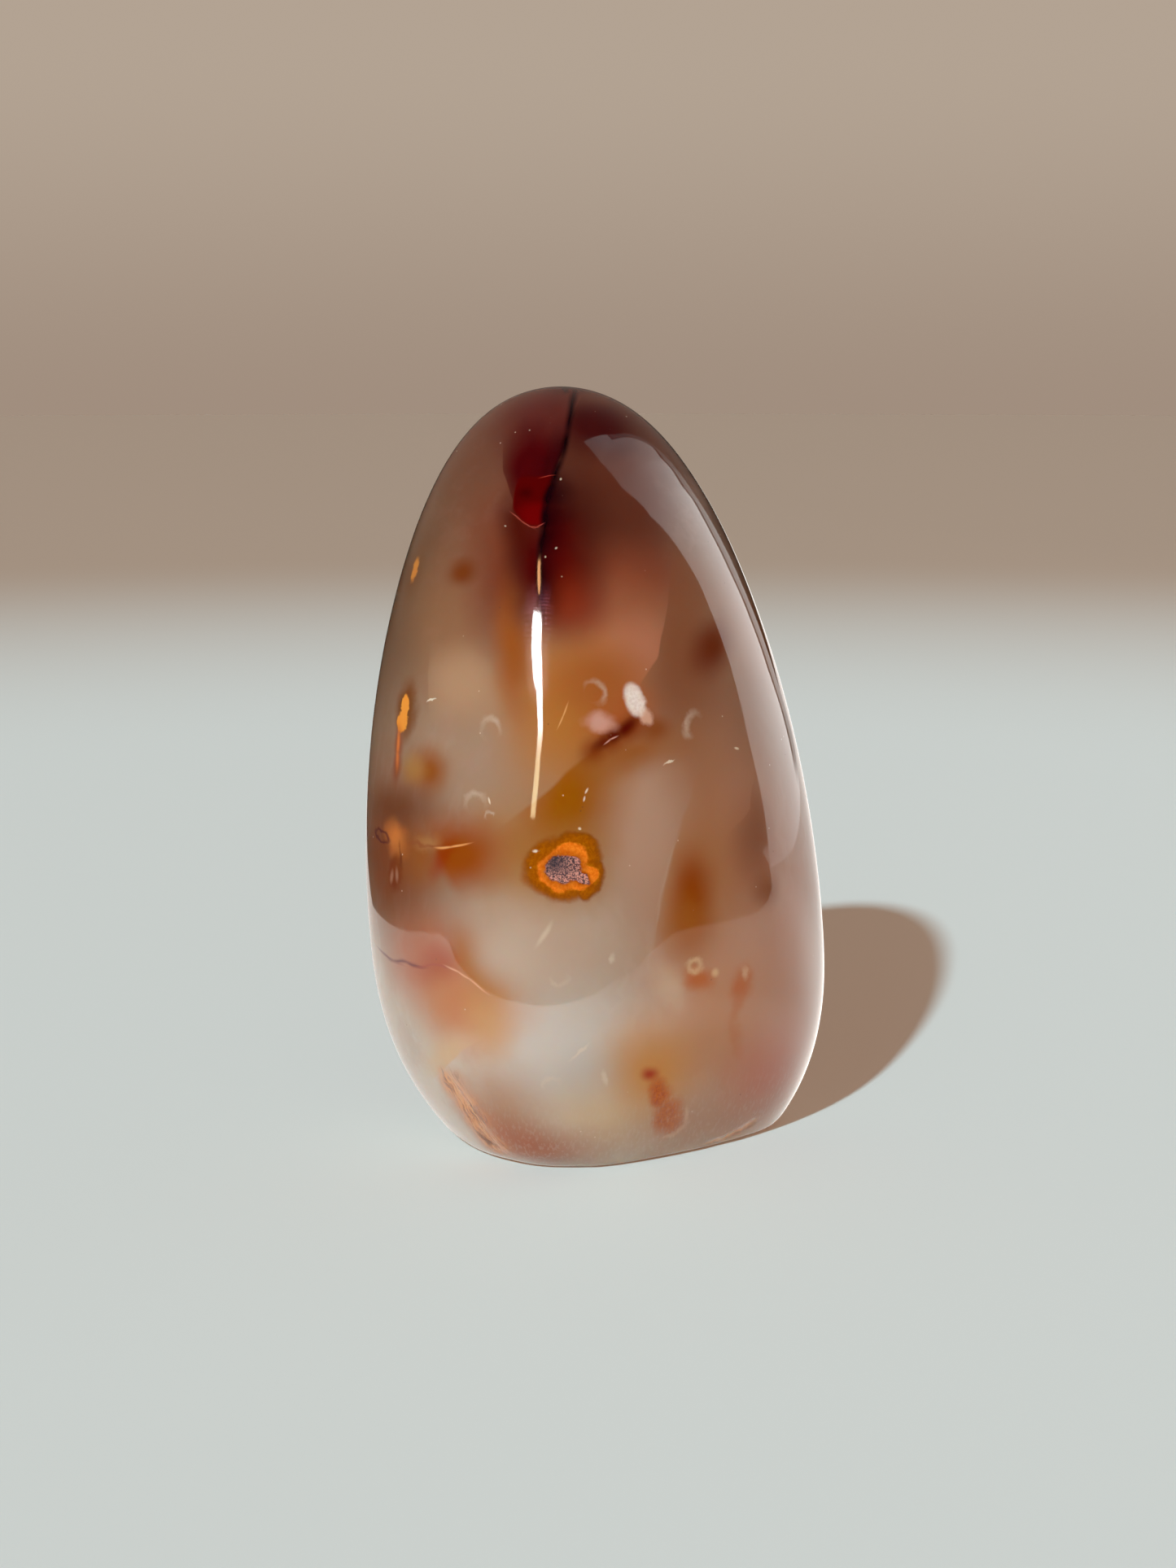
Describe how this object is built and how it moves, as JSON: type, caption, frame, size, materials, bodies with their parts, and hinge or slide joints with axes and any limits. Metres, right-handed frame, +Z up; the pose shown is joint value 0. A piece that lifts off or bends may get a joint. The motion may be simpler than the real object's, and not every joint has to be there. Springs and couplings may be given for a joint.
{
  "type": "polished freeform stone",
  "caption": "Polished freeform agate or carnelian stone, a leaning rounded teardrop with a soft front ridge, standing on a flat cut base.",
  "frame": {"origin": "on the plane of the cut base, under the middle of the stone's bounding box", "axes": "+Z up out of the base, -Y towards the viewer of the picture, the side with the soft ridge"},
  "size_m": [0.0504, 0.04, 0.08],
  "materials": {
    "stone": "high polish, milky translucent with orange, amber and dark red markings"
  },
  "bodies": {
    "root": {"stone": "stone"}
  },
  "joints": []
}
